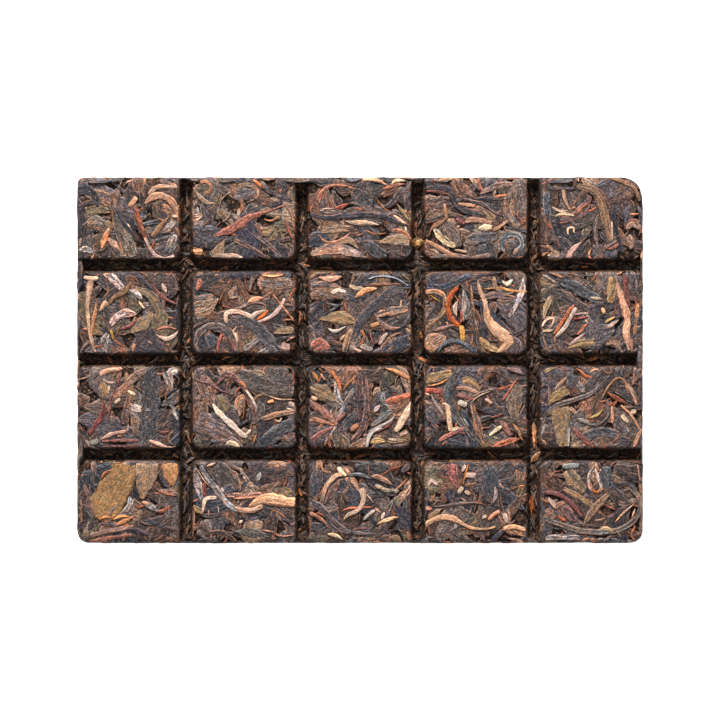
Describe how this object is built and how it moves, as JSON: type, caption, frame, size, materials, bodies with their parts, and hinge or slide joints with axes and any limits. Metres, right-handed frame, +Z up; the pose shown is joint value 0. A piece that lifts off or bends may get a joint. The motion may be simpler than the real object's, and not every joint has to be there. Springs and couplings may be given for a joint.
{
  "type": "pu erh tea brick",
  "caption": "Flat oblong brick of dark pressed tea leaf, its top scored by crossing grooves into small blocks to snap off.",
  "frame": {"origin": "middle of the bounding box at the flat underside", "axes": "+X along the longest side, +Y towards the far long side, +Z up, out of the scored top"},
  "size_m": [0.1505, 0.0977, 0.0084],
  "materials": {
    "pressed_tea": "dry pressed leaf, dark brown to grey-purple with paler stems, matte with a faint satin on flat leaves"
  },
  "bodies": {
    "root": {"tea_brick": "pressed_tea"}
  },
  "joints": []
}
